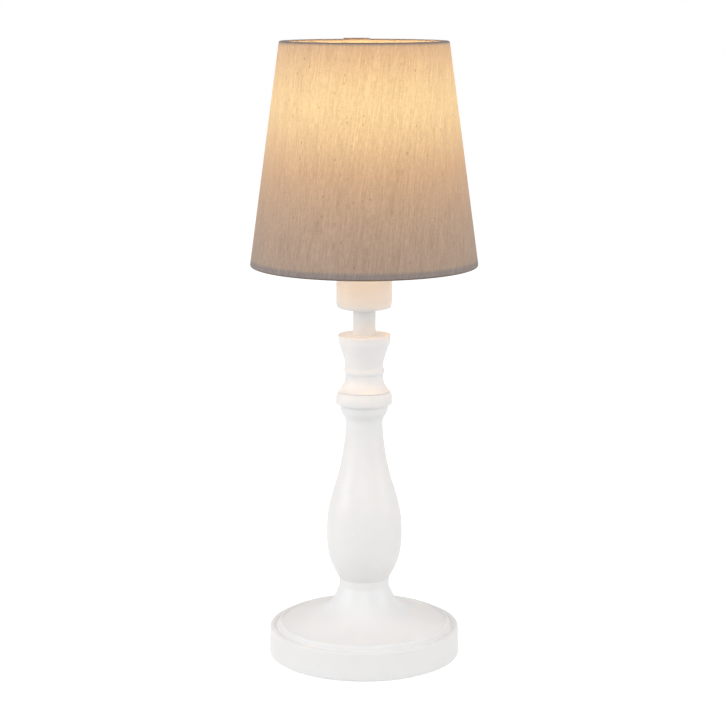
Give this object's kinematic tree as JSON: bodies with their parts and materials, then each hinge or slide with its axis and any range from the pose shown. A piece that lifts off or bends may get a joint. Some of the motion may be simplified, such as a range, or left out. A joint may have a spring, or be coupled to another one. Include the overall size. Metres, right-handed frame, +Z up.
{
  "type": "table lamp",
  "caption": "Small table lamp with a turned white foot and stem, a small-screw lampholder, a coned fabric shade on a wire frame and a candle bulb.",
  "frame": {"origin": "middle of the underside, on the surface that the lamp stands on", "axes": "+Z up the stem, -Y the front that the picture shows, +Y the rear with the cord outlet, +X to the right seen from the front"},
  "size_m": [0.12, 0.12, 0.3285],
  "materials": {
    "pad": "matte",
    "lacquer": "satin",
    "steel": "satin",
    "grommet": "matte",
    "white_steel": "satin",
    "holder": "satin",
    "core": "matte",
    "brass": "satin",
    "liner": "satin",
    "fabric": "matte",
    "solder": "satin",
    "black_glass": "gloss",
    "bulb_cap": "satin",
    "bulb_body": "satin",
    "board": "matte",
    "frosted": "satin"
  },
  "bodies": {
    "lamp": {"base_pad": "pad", "foot": "lacquer", "weight_plate": "steel", "weight_screw_1": "steel", "weight_screw_2": "steel", "weight_screw_3": "steel", "cable_grommet": "grommet", "lower_washer": "steel", "lock_washer": "steel", "lower_nut": "steel", "threaded_rod": "steel", "stem_body": "lacquer", "stem_collar": "lacquer", "stem_cup": "lacquer", "neck_tube": "white_steel", "holder_cap": "holder", "holder_skirt": "holder", "holder_insert": "core", "screw_shell": "brass", "centre_contact": "brass", "side_contact": "brass", "terminal_screw_1": "steel", "terminal_screw_2": "steel"},
    "shade": {"shade_spider": "white_steel", "bottom_ring": "white_steel", "top_ring": "white_steel", "shade_liner": "liner", "shade_fabric": "fabric", "hem_bottom": "fabric", "hem_top": "fabric"},
    "ring": {"shade_ring": "holder"},
    "bulb_tip": {"bulb_contact": "solder"},
    "bulb": {"bulb_insulator": "black_glass", "bulb_cap": "bulb_cap", "bulb_body": "bulb_body", "led_board": "board", "bulb_dome": "frosted"}
  },
  "joints": [
    {"name": "shade_swivel", "type": "hinge", "parent": "lamp", "child": "shade", "pos_m": [0, 0, 0.223], "axis": [0, 0, 1], "continuous": true},
    {"name": "ring_turn", "type": "hinge", "parent": "lamp", "child": "ring", "pos_m": [0, 0, 0.2248], "axis": [0, 0, 1], "range_deg": [0, 360]},
    {"name": "bulb_rise", "type": "slide", "parent": "lamp", "child": "bulb_tip", "axis": [0, 0, 1], "range_m": [0, 0.0099]},
    {"name": "bulb_unscrew", "type": "hinge", "parent": "bulb_tip", "child": "bulb", "pos_m": [0, 0, 0.219], "axis": [0, 0, 1], "range_deg": [0, 1260]}
  ],
  "couplings": [
    {"joint": "bulb_rise", "follows": "bulb_unscrew", "m_per_rad": 0.00044913}
  ]
}
